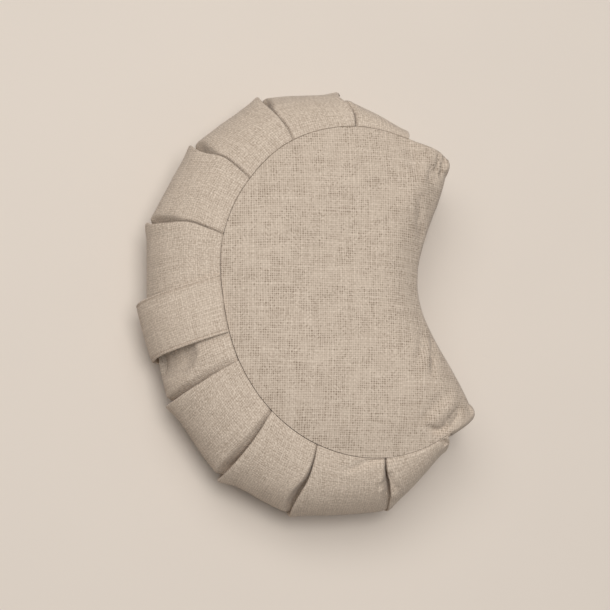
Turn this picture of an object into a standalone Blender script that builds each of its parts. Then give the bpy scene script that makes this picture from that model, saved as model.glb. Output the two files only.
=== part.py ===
"""Crescent zafu: a filled meditation cushion with a pleated side band and a carry strap.

It lies on its base as it is used, +Z up. +X runs from tip to tip and +Y points to the
round, pleated back. The origin is on the floor, at the centre of the back seam's curve.
"""

from collections import namedtuple
from math import acos, atan2, cos, degrees, hypot, pi, radians, sin

import bmesh
import bpy

OBJECT_NAME = "crescent_zafu"

# Driving dimensions, in metres.
CLOTH = 0.002
STRAP_THICKNESS = 0.003
CLEARANCE = 0.0003

# The crown is this high, and falls by a drop to the back and front seams, each over a
# reach. A larger blend makes a crisper corner where the two falls meet.
CROWN_HEIGHT = 0.128
BACK_DROP = 0.015
BACK_REACH = 0.095
FRONT_DROP = 0.024
FRONT_REACH = 0.050
CROWN_POWER = 2.4
CORNER_BLEND = 4

# The side is widest at the belly. The base seam is a little off the floor.
BELLY_HEIGHT = 0.052
BASE_SEAM_HEIGHT = 0.0095
BASE_RIM_WIDTH = 0.028
SEAM_DROP = 0.0006
LEDGE_WIDTH = 0.0026

# A panel sags between its pleats. A fold is nearly shut at the seams, opens over the
# shoulder and closes by this share at the belly. Its bottom is tucked under the next lip.
PANEL_SAG = 0.003
FOLD_TUCK = 0.0035
FOLD_AT_SEAM = 0.12
FOLD_OPENING_POWER = 1.5
FOLD_CLOSING = 0.6
FOLD_CLOSING_POWER = 6

BAY_MIDDLE_Y = -0.038
BAY_SWING = 0.046
BAY_HALF_WAVE = 0.150
BAY_HALF_WIDTH = 0.119
BAY_BELLY = 0.006
TIP_CORNER = (0.130, -0.083)
TIP_BELLY = 0.008
TIP_BELLY_POWER = 0.6

# The strap's middle strays along the back, this far at the top seam and from the belly
# down. Its lower edge lies in by this share of its width at the belly.
STRAP_WIDTH = 0.057
STRAP_AT_SEAM = -0.0035
STRAP_AT_BELLY = -0.0205
STRAP_TILT = 0.20
STRAP_STAND_OFF = 0.0005
HAND_GAP = 0.0085
HAND_GAP_POWER = 3

# The middle of the crescent, from where the whole outline can be seen.
MIDDLE = (0.0, 0.060)

# One row for each pleat, round the back from one tip to the other. The angle is
# measured at the origin from +Y towards +X. The belly is how far the band stands out
# beyond the seam, the fold is how deep the pleat is, and the lip is how far its edge
# stands proud.
Pleat = namedtuple("Pleat", "angle seam_radius belly fold lip")
PLEATS = (
    Pleat(107, 0.157, 0.026, 0.006, 0.0010),
    Pleat(86, 0.166, 0.048, 0.009, 0.0020),
    Pleat(64, 0.170, 0.064, 0.012, 0.0025),
    Pleat(44, 0.168, 0.068, 0.013, 0.0025),
    Pleat(22, 0.164, 0.071, 0.014, 0.0025),
    Pleat(0, 0.160, 0.063, 0.006, 0.0),
    Pleat(-22, 0.160, 0.068, 0.013, 0.0020),
    Pleat(-43, 0.163, 0.071, 0.013, 0.0030),
    Pleat(-64, 0.167, 0.063, 0.012, 0.0030),
    Pleat(-87, 0.164, 0.049, 0.011, 0.0020),
    Pleat(-107, 0.157, 0.026, 0.006, 0.0010),
)

# One row for each line of points up a panel, from the lip of one pleat to the fold
# under the next. The share is across the panel, and lip, fold and tuck are shares of
# the pleat's own sizes.
PanelLine = namedtuple("PanelLine", "share lip fold tuck")
PANEL_LINES = (
    PanelLine(0.00, 0.6, 0.0, 0.0),
    PanelLine(0.08, 1.0, 0.0, 0.0),
    PanelLine(0.24, 0.0, 0.0, 0.0),
    PanelLine(0.41, 0.0, 0.0, 0.0),
    PanelLine(0.58, 0.0, 0.0, 0.0),
    PanelLine(0.76, 0.0, 0.0, 0.0),
    PanelLine(0.89, 0.0, 0.2, 0.0),
    PanelLine(0.955, 0.0, 0.65, 0.2),
    PanelLine(0.985, 0.0, 1.0, 1.0),
)

# The strap crosses the pleat in the middle of the back.
STRAP_PLEAT = PLEATS[5]

TIP_SHARES = (0.0, 0.16, 0.32, 0.48, 0.64, 0.80, 0.95)
BAY_LINES = 24
BAND_STEPS = 12
CROWN_SHARES = (0.82, 0.60, 0.38, 0.20, 0.08)
# Inside this share the lines are evenly spread, and no longer bunched at the pleats.
EVEN_FROM = 0.20
BASE_SHARES = (0.12, 0.30, 0.65)
STRAP_STEPS = 32
STRAP_LINES = 6

# A line of points from the middle of the top, over the side, to the middle of the base.
# x and y are where it crosses the seam, out_x and out_y point away from the cushion.
Line = namedtuple("Line", "x y even_x even_y out_x out_y belly lift tuck seam_height is_front")

LINEN = (0.51, 0.42, 0.335)
LINEN_SHADED = (0.45, 0.37, 0.29)
ROUGHNESS = 0.9
SHARP_ANGLE = radians(50)


def mix(a, b, share):
    return a + (b - a) * share


def smooth_between(values, position):
    """A smooth curve through evenly spaced values, read at a position among them."""
    last = len(values) - 1
    at = min(int(position), last - 1)
    share = position - at
    p0, p1, p2, p3 = (values[min(max(at + k, 0), last)] for k in (-1, 0, 1, 2))
    return 0.5 * (
        2 * p1
        + (p2 - p0) * share
        + (2 * p0 - 5 * p1 + 4 * p2 - p3) * share**2
        + (3 * p1 - p0 - 3 * p2 + p3) * share**3
    )


def back_seam(position):
    """A point on the back seam. The position counts pleats from the first."""
    angle = radians(smooth_between([pleat.angle for pleat in PLEATS], position))
    radius = smooth_between([pleat.seam_radius for pleat in PLEATS], position)
    return radius * sin(angle), radius * cos(angle)


def bay_y(x):
    """The front edge, a wave that is deepest at the middle."""
    return BAY_MIDDLE_Y - BAY_SWING * (1 - cos(pi * x / BAY_HALF_WAVE)) / 2


def seam_radius(x, y):
    """The back seam's distance from the origin, in the direction of a plan point."""
    angle = degrees(atan2(x, y))
    for number in range(len(PLEATS) - 1):
        here, after = PLEATS[number], PLEATS[number + 1]
        if here.angle >= angle >= after.angle:
            share = (here.angle - angle) / (here.angle - after.angle)
            return mix(here.seam_radius, after.seam_radius, share)
    return PLEATS[0].seam_radius


def top_height(x, y):
    """The top panel's upper face: it falls to the back seam, and more to the front one."""
    from_back = max(seam_radius(x, y) - hypot(x, y), 0.0)
    from_front = max(y - bay_y(x), 0.0)
    back = BACK_DROP * (1 - min(from_back / BACK_REACH, 1.0)) ** CROWN_POWER
    front = FRONT_DROP * (1 - min(from_front / FRONT_REACH, 1.0)) ** CROWN_POWER
    return CROWN_HEIGHT - (back**CORNER_BLEND + front**CORNER_BLEND) ** (1 / CORNER_BLEND)


def tip_seam(share, side):
    """A point round a tip, from the last pleat to where the bay starts."""
    start = back_seam(0)
    corner = TIP_CORNER
    end = (BAY_HALF_WIDTH, bay_y(BAY_HALF_WIDTH))
    weights = ((1 - share) ** 2, 2 * share * (1 - share), share**2)
    x, y = (sum(w * p[k] for w, p in zip(weights, (start, corner, end))) for k in (0, 1))
    return side * x, y


def back_lines():
    """The lines up the pleated panels, one panel after another."""
    lines = []
    for number in range(len(PLEATS) - 1):
        here, after = PLEATS[number], PLEATS[number + 1]
        for step, row in enumerate(PANEL_LINES):
            position = number + row.share
            x, y = back_seam(position)
            even_x, even_y = back_seam(number + step / len(PANEL_LINES))
            belly = smooth_between([pleat.belly for pleat in PLEATS], position)
            sag = PANEL_SAG * 4 * row.share * (1 - row.share)
            lift = row.lip * here.lip - row.fold * after.fold - sag
            distance = hypot(x, y)
            lines.append(
                Line(
                    x, y, even_x, even_y, x / distance, y / distance,
                    belly, lift, row.tuck * FOLD_TUCK, top_height(x, y), False,
                )
            )
    return lines


def outward(before, after):
    """The direction that points away from the cushion between two outline points."""
    along_x, along_y = after[0] - before[0], after[1] - before[1]
    length = hypot(along_x, along_y)
    return along_y / length, -along_x / length


def front_lines():
    """The lines round the lower tip, across the bay and round the upper tip."""
    lower = [tip_seam(share, -1) for share in TIP_SHARES]
    upper = [tip_seam(share, 1) for share in reversed(TIP_SHARES[1:])]
    bay_x = [BAY_HALF_WIDTH * (2 * step / BAY_LINES - 1) for step in range(BAY_LINES + 1)]
    bay = [(x, bay_y(x)) for x in bay_x]
    points = lower + bay + upper
    last_panel_line = back_seam(len(PLEATS) - 2 + PANEL_LINES[-1].share)
    before = [last_panel_line] + points[:-1]
    after = points[1:] + [back_seam(0)]
    lines = []
    for index, point in enumerate(points):
        steps = min(index, len(points) - index)
        is_front = steps >= len(lower)
        share = 1.0 if is_front else TIP_SHARES[steps]
        into_bay = min(max(steps - len(lower), 0) / len(lower), 1.0)
        belly = mix(PLEATS[0].belly, TIP_BELLY, share**TIP_BELLY_POWER)
        belly = mix(belly, BAY_BELLY, into_bay)
        out = outward(before[index], after[index])
        height = top_height(*point)
        lines.append(Line(*point, *point, *out, belly, 0.0, 0.0, height, is_front))
    return lines


def base_height(inset):
    """The base panel's lower face: flat on the floor, but for the rim that rises to the seam."""
    return BASE_SEAM_HEIGHT * (1 - min(inset / BASE_RIM_WIDTH, 1.0)) ** 2


def near_seam(line, inset):
    """A plan point straight in from the seam, and its distance in."""
    return line.x - line.out_x * inset, line.y - line.out_y * inset, inset


def towards_middle(line, share):
    """A plan point part of the way from the seam to the middle, and its distance in."""
    even = min(share / EVEN_FROM, 1.0)
    x, y = mix(line.x, line.even_x, even), mix(line.y, line.even_y, even)
    reach = hypot(MIDDLE[0] - x, MIDDLE[1] - y)
    return mix(x, MIDDLE[0], share), mix(y, MIDDLE[1], share), share * reach


def fold_opening(turn):
    """How far a pleat opens on its way from the top seam, turn 0, to the base seam, turn pi."""
    swell = max(sin(turn), 0.0)
    closing = 1 - FOLD_CLOSING * swell**FOLD_CLOSING_POWER
    return mix(FOLD_AT_SEAM, 1.0, swell**FOLD_OPENING_POWER * closing)


def side_point(line, turn, top, base, inset=0.0):
    """A point on the side, from the top seam at turn 0 to the base seam at turn pi."""
    swell = max(sin(turn), 0.0)
    reach = top - BELLY_HEIGHT if turn < pi / 2 else BELLY_HEIGHT - base
    opening = fold_opening(turn)
    out = line.belly * swell - inset + line.lift * opening * swell
    tuck = line.tuck * opening
    x = line.x + line.out_x * out - line.out_y * tuck
    y = line.y + line.out_y * out + line.out_x * tuck
    z = BELLY_HEIGHT + (reach + line.lift * opening) * cos(turn)
    return x, y, z


def top_ring(plan_point):
    x, y, _ = plan_point
    return x, y, top_height(x, y) - CLOTH - CLEARANCE


def base_ring(plan_point):
    x, y, inset = plan_point
    return x, y, base_height(inset) + CLOTH + CLEARANCE


def wall_ring(line, turn):
    """The band's own face, or the wall that the front band lies on."""
    if not line.is_front:
        return side_point(line, turn, line.seam_height - SEAM_DROP, BASE_SEAM_HEIGHT)
    under = CLOTH + CLEARANCE
    return side_point(line, turn, line.seam_height - under, base_height(0) + under, under)


def body_rings():
    """The body's rings from the middle of the top to the middle of the base."""
    rings = [lambda line, k=share: top_ring(towards_middle(line, k)) for share in CROWN_SHARES]
    rings.append(lambda line: top_ring(near_seam(line, LEDGE_WIDTH)))
    turns = [pi * step / BAND_STEPS for step in range(BAND_STEPS + 1)]
    rings += [lambda line, k=turn: wall_ring(line, k) for turn in turns]
    rings.append(lambda line: base_ring(near_seam(line, LEDGE_WIDTH)))
    rings += [lambda line, k=share: base_ring(towards_middle(line, k)) for share in BASE_SHARES]
    return rings


def shaped_body(lines):
    """A sphere whose rings and lines are moved to where they belong on the cushion.

    Each point keeps the number of its ring, from the top, and of its line.
    """
    rings = body_rings()
    steps = len(rings) + 1
    mesh = bmesh.new()
    ring_of = mesh.verts.layers.int.new("ring")
    line_of = mesh.verts.layers.int.new("line")
    bmesh.ops.create_uvsphere(mesh, u_segments=len(lines), v_segments=steps, radius=1.0)
    for vert in mesh.verts:
        ring = round(acos(min(max(vert.co.z, -1.0), 1.0)) / pi * steps)
        turn = atan2(vert.co.y, vert.co.x) / (2 * pi)
        number = round(turn * len(lines)) % len(lines)
        vert[ring_of], vert[line_of] = ring, number
        if ring == 0:
            vert.co = (*MIDDLE, CROWN_HEIGHT - CLOTH - CLEARANCE)
        elif ring == steps:
            vert.co = (*MIDDLE, CLOTH + CLEARANCE)
        else:
            vert.co = rings[ring - 1](lines[number])
    bmesh.ops.triangulate(mesh, faces=mesh.faces[:])
    return mesh


def cloth_over(body, name, covers, moved):
    """A sheet over part of the body: a copy of those faces, parted from it and thickened.

    covers(ring, line) picks the points, and moved(point, ring, line, distance) puts a
    point that far off the body.
    """
    mesh = body.copy()
    ring_of = mesh.verts.layers.int["ring"]
    line_of = mesh.verts.layers.int["line"]
    bare = [vert for vert in mesh.verts if not covers(vert[ring_of], vert[line_of])]
    bmesh.ops.delete(mesh, geom=bare, context="VERTS")
    inner = mesh.verts[:]
    raised = bmesh.ops.extrude_face_region(mesh, geom=mesh.faces[:], use_keep_orig=True)
    outer = [item for item in raised["geom"] if isinstance(item, bmesh.types.BMVert)]
    for verts, distance in ((inner, CLEARANCE), (outer, CLEARANCE + CLOTH)):
        for vert in verts:
            vert.co = moved(vert.co, vert[ring_of], vert[line_of], distance)
    return finished(name, mesh)


def finished(name, mesh):
    """Makes an object of a bmesh, with its faces in triangles and its normals outwards."""
    bmesh.ops.triangulate(mesh, faces=mesh.faces[:])
    bmesh.ops.recalc_face_normals(mesh, faces=mesh.faces[:])
    data = bpy.data.meshes.new(name)
    mesh.to_mesh(data)
    mesh.free()
    data.shade_smooth()
    data.set_sharp_from_angle(angle=SHARP_ANGLE)
    piece = bpy.data.objects.new(name, data)
    bpy.data.collections[OBJECT_NAME].objects.link(piece)
    return piece


def laid_sheet(name, columns, steps, place, thickness):
    """A sheet: a grid laid by place(across, along), with Solidify for its thickness."""
    mesh = bmesh.new()
    bmesh.ops.create_grid(mesh, x_segments=columns, y_segments=steps, size=0.5)
    for vert in mesh.verts:
        vert.co = place(vert.co.x + 0.5, vert.co.y + 0.5)
    data = bpy.data.meshes.new(name)
    mesh.to_mesh(data)
    mesh.free()
    data.shade_smooth()
    sheet = bpy.data.objects.new(name, data)
    bpy.data.collections[OBJECT_NAME].objects.link(sheet)
    wall = sheet.modifiers.new("thickness", "SOLIDIFY")
    wall.thickness = thickness
    wall.offset = 1.0
    return sheet


def make_top_panel(body):
    last = len(CROWN_SHARES) + 1

    def moved(point, ring, line, distance):
        return point.x, point.y, point.z + distance

    return cloth_over(body, "top_panel", lambda ring, line: ring <= last, moved)


def make_base_panel(body):
    first = len(CROWN_SHARES) + BAND_STEPS + 3

    def moved(point, ring, line, distance):
        return point.x, point.y, point.z - distance

    return cloth_over(body, "base_panel", lambda ring, line: ring >= first, moved)


def make_front_band(body, lines):
    """The plain strip across the bay, from tip to tip."""
    first = len(CROWN_SHARES) + 2
    last = first + BAND_STEPS
    front = [number for number, line in enumerate(lines) if line.is_front]
    ends = {front[0]: -1.0, front[-1]: 1.0}
    rise = {first: CLOTH + CLEARANCE - SEAM_DROP, last: -(CLOTH + CLEARANCE)}

    def covers(ring, number):
        return first <= ring <= last and front[0] <= number <= front[-1]

    def moved(point, ring, number, distance):
        line = lines[number]
        back = ends.get(number, 0.0) * 2 * CLEARANCE
        x = point.x + line.out_x * distance + line.out_y * back
        y = point.y + line.out_y * distance - line.out_x * back
        return x, y, point.z + rise.get(ring, 0.0)

    return cloth_over(body, "front_band", covers, moved)


def make_carry_strap(lines):
    """The strap, from the top seam over the belly to the base seam, with room for a hand."""
    middle = lines[PLEATS.index(STRAP_PLEAT) * len(PANEL_LINES)]

    def place(across, along):
        turn = pi * along
        swell = max(sin(turn), 0.0)
        across = STRAP_WIDTH * (across - 0.5)
        strayed = (swell + 2 * along) / 2 if turn < pi / 2 else 1.0
        x = mix(STRAP_AT_SEAM, STRAP_AT_BELLY, strayed) + across
        stand_off = STRAP_STAND_OFF + HAND_GAP * swell**HAND_GAP_POWER
        top = middle.seam_height - SEAM_DROP
        _, y, z = side_point(middle, turn, top, BASE_SEAM_HEIGHT)
        bend = mix(x**2 / (2 * middle.y), -STRAP_TILT * across, swell**2)
        return x, y + stand_off * swell - bend, z + stand_off * cos(turn)

    return laid_sheet("carry_strap", STRAP_LINES, STRAP_STEPS, place, STRAP_THICKNESS)


def colour(piece, base_color):
    """Gives a piece its own cloth material."""
    material = bpy.data.materials.new(piece.name + "_linen")
    material.use_nodes = True
    shader = material.node_tree.nodes["Principled BSDF"]
    shader.inputs["Base Color"].default_value = (*base_color, 1.0)
    shader.inputs["Roughness"].default_value = ROUGHNESS
    shader.inputs["Metallic"].default_value = 0.0
    piece.data.materials.append(material)


def clear_scene():
    for item in list(bpy.data.objects):
        bpy.data.objects.remove(item, do_unlink=True)


def main():
    clear_scene()
    collection = bpy.data.collections.new(OBJECT_NAME)
    bpy.context.scene.collection.children.link(collection)
    lines = back_lines() + front_lines()

    shape = shaped_body(lines)
    top_panel = make_top_panel(shape)
    base_panel = make_base_panel(shape)
    front_band = make_front_band(shape, lines)
    body = finished("pleated_body", shape)
    strap = make_carry_strap(lines)

    for piece in (body, top_panel, strap):
        colour(piece, LINEN)
    for piece in (base_panel, front_band):
        colour(piece, LINEN_SHADED)


main()
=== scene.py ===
"""Dresses the crescent zafu: a pleated linen cover, its panels and its carry strap."""

from collections import namedtuple
from math import pi, radians, tau

import bmesh
import bpy
import numpy as np
from bpy.props import FloatProperty, FloatVectorProperty, PointerProperty
from mathutils import Matrix, Vector, noise


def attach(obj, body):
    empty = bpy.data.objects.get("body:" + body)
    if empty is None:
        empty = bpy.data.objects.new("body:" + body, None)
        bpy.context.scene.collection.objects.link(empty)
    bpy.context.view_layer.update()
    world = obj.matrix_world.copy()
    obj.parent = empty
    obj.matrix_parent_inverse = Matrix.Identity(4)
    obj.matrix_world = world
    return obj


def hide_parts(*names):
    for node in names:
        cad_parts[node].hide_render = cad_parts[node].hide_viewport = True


bl_info = {
    "name": "Crescent Zafu",
    "version": (1, 0, 0),
    "blender": (4, 5, 0),
    "location": "View3D > Sidebar > Zafu",
    "description": "Builds the linen cover, panels and strap of a crescent meditation cushion",
    "category": "Add Mesh",
}

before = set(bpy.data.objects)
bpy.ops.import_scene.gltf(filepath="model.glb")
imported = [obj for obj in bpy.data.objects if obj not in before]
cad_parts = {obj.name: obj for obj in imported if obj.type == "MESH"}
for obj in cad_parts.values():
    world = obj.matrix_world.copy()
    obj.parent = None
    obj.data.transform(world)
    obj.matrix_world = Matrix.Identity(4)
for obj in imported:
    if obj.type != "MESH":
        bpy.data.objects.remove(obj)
BODY = "root"

# The cushion's own sizes, as its solids have them, in metres.
CROWN_HEIGHT = 0.128
BACK_DROP = 0.015
BACK_REACH = 0.095
FRONT_DROP = 0.024
FRONT_REACH = 0.050
CROWN_POWER = 2.4
CORNER_BLEND = 4
BELLY_HEIGHT = 0.052
BASE_SEAM_HEIGHT = 0.0095
BASE_RIM_WIDTH = 0.028
BAY_MIDDLE_Y = -0.038
BAY_SWING = 0.046
BAY_HALF_WAVE = 0.150
BAY_HALF_WIDTH = 0.119
BAY_BELLY = 0.006
# How much of the bay's half width it takes to come to its own belly.
BAY_BLEND = 0.58
TIP_CORNERS = {1: (0.1305, -0.0880), -1: (0.1285, -0.0870)}
TIP_SHARPNESS = 3.0
TIP_BELLY = 0.0075
# Over this share of a tip, the outward direction turns from the pleats' to the tip's own.
TIP_TURN_SHARE = 0.4
MIDDLE = np.array((0.0, 0.060))
MM = 0.001

# Where down the side the pleats' sizes are given, as turns from the top seam to the belly.
STATIONS = np.radians((0, 15, 30, 50, 70, 90))

# One row for each pleat, round the back from one tip to the other. The angle is
# measured from +Y towards +X, and lip is how far the next panel's edge stands proud. At
# each station, slit is how deep the narrow gap beside that edge is, depth is how far the
# panel before it dips, width is how wide it rolls over to do so, and lean is how far the
# fold has wandered along the band. These five are in millimetres.
Pleat = namedtuple("Pleat", "angle seam_radius belly lip slit depth width lean")
PLEATS = (
    Pleat(105.5, 0.1570, 0.019, 1.0,
          (0, 0, 0, 0, 0, 0), (0, 0, 0, 0, 0, 0), (3, 3, 3, 3, 3, 3), (0, 0, 0, 0, 0, 0)),
    Pleat(86, 0.1670, 0.048, 2.0,
          (6, 8, 8, 8, 6, 4), (0, 1, 3, 8, 9, 4), (3, 3, 5, 9, 11, 8), (0, -1, 1, 6, 3, -3)),
    Pleat(64, 0.1724, 0.063, 1.4,
          (4, 6, 6, 6, 4, 3), (0, 0, 1, 11, 13, 3), (3, 3, 4, 12, 14, 8), (0, -1, 0, 1, -2, -7)),
    Pleat(44, 0.1695, 0.069, 1.4,
          (4, 6, 6, 6, 4, 3), (0, 0, 1, 12, 13, 3), (3, 3, 4, 12, 14, 8), (0, -1, -1, 5, 3, -2)),
    Pleat(22, 0.1645, 0.073, 1.4,
          (4, 6, 6, 6, 4, 3), (0, 0, 1, 12, 14, 3), (3, 3, 4, 13, 14, 8), (-2, -3, -4, 1, 3, -1)),
    Pleat(0, 0.1568, 0.070, 0.4,
          (0, 0, 0, 1, 1, 0), (1, 2, 3, 3, 3, 3), (4, 6, 8, 8, 8, 8), (0, 0, 0, 0, 0, 0)),
    Pleat(-22, 0.1582, 0.073, 2.0,
          (1, 2, 3, 3, 2, 1), (2, 4, 6, 8, 9, 6), (8, 9, 10, 11, 11, 9), (1, 2, 4, 6, 8, 8)),
    Pleat(-43, 0.1620, 0.075, 2.2,
          (2, 3, 4, 4, 3, 1), (2, 5, 7, 11, 12, 4), (7, 8, 10, 12, 12, 9), (1, 5, 8, 10, 11, 11)),
    Pleat(-64, 0.1650, 0.067, 1.6,
          (3, 4, 5, 5, 3, 1), (1, 3, 6, 12, 11, 3), (3, 4, 8, 13, 13, 9), (-4, -1, 1, 0, 1, 4)),
    Pleat(-87, 0.1640, 0.049, 1.0,
          (4, 7, 6, 2, 0, 0), (1, 4, 9, 8, 3, 1), (3, 6, 10, 12, 12, 10), (-1, 0, 4, 7, 9, 12)),
    Pleat(-109.5, 0.1560, 0.016, 1.0,
          (0, 0, 0, 0, 0, 0), (0, 0, 0, 0, 0, 0), (3, 3, 3, 3, 3, 3), (0, 0, 0, 0, 0, 0)),
)
# The strap lies over the pleat in the middle of the back.
STRAP_PLEAT = PLEATS[5]
SLIT_WIDTH = 0.0024
PANEL_SAG = 0.0048
LIP_RADIUS = 0.0024
LIP_REACH = 0.011
CORNER_LIFT = 0.0014
CORNER_REACH = 0.010
OVERHANG = 0.0020
OVERHANG_REACH = 0.008
TUCK = 0.0035
TUCK_REACH = 0.004
# How far the cloth inside a fold bends back between the two panels.
FOLD_BEND = 0.0015
# These are at the seam, as shares of what they are at the belly.
LIP_AT_SEAM = 0.35
OVERHANG_AT_SEAM = 0.6

# Where lines of points cross a panel: how far apart at its lip, at its fold and between.
PANEL_WIDTH = 0.075
PANEL_LINES = 38
LIP_SPACING = 0.0004
FOLD_SPACING = 0.0005
WIDEST_SPACING = 0.0033
LIP_GROWTH = 0.25
FOLD_GROWTH = 0.12
FOLDED_SHARES = (0.25, 0.5, 0.75)
TIP_LINES = 26
BAY_LINES = 72
SIDE_RINGS = 84
RING_BUNCHING = 1.1

# Round the tips and the bay the top panel rolls over the edge before its seam.
FRONT_SEAM_TURN = radians(52)
FRONT_SEAM_FROM = 0.28
FRONT_PULL = 0.022
FRONT_LEAD = 0.9
STEEPEST_SLOPE = 1.2
TIP_START_BELLY = 0.0055

# The rolled edge that both cloths have at a seam: how far from the seam, and how far down.
SEAM_ROLL = ((0.00012, 0.0036), (0.00012, 0.0017), (0.0004, 0.0006), (0.0010, 0.00015))
ROLL_END = 0.0014
DECK_DROP = 0.0050
PANEL_CLOTH = 0.0012
FRONT_CLOTH = 0.0015
FRONT_EDGE_DROP = 0.0012
CLEARANCE = 0.0003
# How far a line across a panel goes straight in from the seam before it bends.
INWARD_BEND = 0.004
# Rings of the panels near the seam, by their distance from it, and how many there are beyond.
NEAR_SEAM = (0.0021, 0.0036, 0.0056, 0.0082, 0.0112, 0.0146, 0.0184, 0.0226, 0.0270, 0.0316, 0.0364)
INNER_RINGS = 30
INNERMOST = 0.97
# The hidden rings: the filled body's under the top panel, by share of the way to the
# middle and then by distance from the seam, the body's over the base panel, and the rings
# of each panel's underside.
DECK_SHARES = (0.85, 0.62, 0.4, 0.2)
DECK_DISTANCES = (0.012, 0.0045)
BODY_BASE_SHARES = (0.2, 0.5, 0.8)
BODY_BASE_HEIGHT = 0.006
LOWEST_SIDE = 0.004
TOP_UNDERSIDE = (0.02, 0.06, 0.2, 0.5, 0.8)
BASE_UNDERSIDE = (0.015, 0.05, 0.2, 0.5, 0.8)
BASE_INNER_RINGS = 24
BASE_RIM_SHARES = (0.075, 0.05, 0.03)

STRAP_WIDTH = 0.057
STRAP_THICKNESS = 0.0024
STRAP_BELLY = 0.0655
STRAP_STAND_OFF = 0.0008
HAND_GAP = 0.0062
HAND_GAP_POWER = 3
# The strap's middle is this far along the back at the top seam and from the belly on, and
# its lower edge lies closer in.
STRAP_AT_SEAM = -0.0035
STRAP_AT_BELLY = -0.0205
STRAP_TILT = 0.21
STRAP_RINGS = 120
STRAP_EDGE = 0.0014
STRAP_BUNCHING = 0.10
STRAP_CROWN = 0.0003
STRAP_SINK = 0.0034
STRAP_SINK_REACH = 0.0010
STRAP_RIPPLE = 0.0004
GROOVE_WIDTH = 0.0007
GROOVE_DEPTH = 0.0010
TOPSTITCH_INSET = 0.0026
TOPSTITCH_SUNK = 0.0006
TOPSTITCH_MARGIN = 0.03
TOPSTITCH_PITCH = 0.0034
TOPSTITCH_LENGTH = 0.0025
TOPSTITCH_RADIUS = 0.00030

# A crease is a soft trough pressed along a path, or a ridge where its depth is below nought.
# Path, width and depth are in millimetres, and the path is as seen from above.
Crease = namedtuple("Crease", "path width depth")
PANEL_CREASES = (
    Crease(((-40, -40), (-67, -30), (-90, -20)), 4.0, 2.6),
    Crease(((-46, -50), (-76, -43), (-100, -37)), 3.2, 3.2),
    Crease(((-50, -44), (-72, -37), (-104, -32)), 4.0, -2.2),
    Crease(((-104, -60), (-113, -47), (-121, -39), (-134, -22)), 4.0, 3.5),
    Crease(((-104, -68), (-120, -52), (-128, -42), (-144, -28)), 5.5, -2.6),
    Crease(((-120, -70), (-132, -58), (-141, -49)), 3.6, 5.1),
    Crease(((-136, -30), (-142, -41), (-140, -53)), 3.4, 4.8),
    Crease(((124, -66), (114, -63), (104, -61)), 4.0, 4.5),
    Crease(((137, -74), (122, -71), (108, -67)), 2.0, 4.2),
    Crease(((139, -82), (124, -77), (112, -73)), 1.8, 4.2),
    Crease(((137, -78), (124, -74), (112, -70)), 1.8, -1.6),
    Crease(((92, -46), (67, -46), (50, -48)), 4.5, 2.9),
    Crease(((150, -40), (130, -44), (108, -46)), 6.0, 1.9),
)
BAND_CREASES = (
    Crease(((49, 186), (40, 180), (32, 174)), 2.4, 1.2),
    Crease(((-163, 2), (-166, 25), (-170, 40), (-174, 54)), 3.2, 2.6),
    Crease(((-178, 6), (-187, 12), (-193, 20)), 2.6, 2.6),
    Crease(((-180, 8), (-189, 5), (-196, -1)), 2.4, 2.4),
    Crease(((-196, 8), (-200, 3), (-202, -4)), 3.0, -2.0),
    Crease(((-176, 100), (-198, 119)), 1.6, -0.7),
    Crease(((-68, 147), (-92, 140), (-118, 128)), 2.0, -0.7),
    Crease(((-148, -43), (-152, -48), (-157, -52)), 2.6, 4.5),
    Crease(((193, 15), (195, 9), (190, 3)), 3.2, -2.6),
    Crease(((196, 4), (193, 8), (188, 9)), 1.6, 2.4),
    Crease(((72, 222), (70, 207), (62, 188)), 7.0, 1.2),
    Crease(((-50, 160), (-53, 180), (-62, 196)), 7.0, -1.6),
    Crease(((27.5, 145), (24.5, 165), (21, 185), (16.5, 205), (11, 228)), 1.5, 3.0),
    Crease(((-33, 145), (-36, 165), (-39.5, 185), (-45, 205)), 2.2, 3.4),
    Crease(((-128, 130), (-140, 150), (-150, 168)), 7.0, 1.3),
    Crease(((150, 96), (170, 112), (188, 118)), 8.0, 1.2),
)
# A hollow in the band just below the strap, where the cloth has been pulled up by it.
HOLLOW_MIDDLE = (-0.049, 0.206)
HOLLOW_RADIUS = 0.022
HOLLOW_DEPTH = 0.009
# Gentle unevenness all over: how far across, and how deep.
UNDULATIONS = ((0.055, 0.0012), (0.020, 0.0007))
PANEL_UNDULATION = 0.6
PANEL_SAMPLE_HEIGHT = 0.1

FLOOR_REACH = 14.0
CAMERA_TARGET = (0.0061, 0.0562, 0.0)
CAMERA_DISTANCE = 1.6
CAMERA_DIRECTION = (-0.1424, 0.1894, 1.0)
PICTURE_UP = (0.9962, -0.0872, 0.0)
LENS = 89.9
SENSOR_WIDTH = 36.0
TOP_LIGHT_DIRECTION = (0.4, 0.0, 1.0)
CORNER_LIGHT_DIRECTION = (0.4, 0.3, 1.0)
LIGHT_DISTANCE = 4.0
LIGHT_TARGET = (0.0, 0.05, 0.05)
THREAD_TURN = radians(5)
FLOOR_SHADE = (0.5, 0.45, 0.4, 1)


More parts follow.
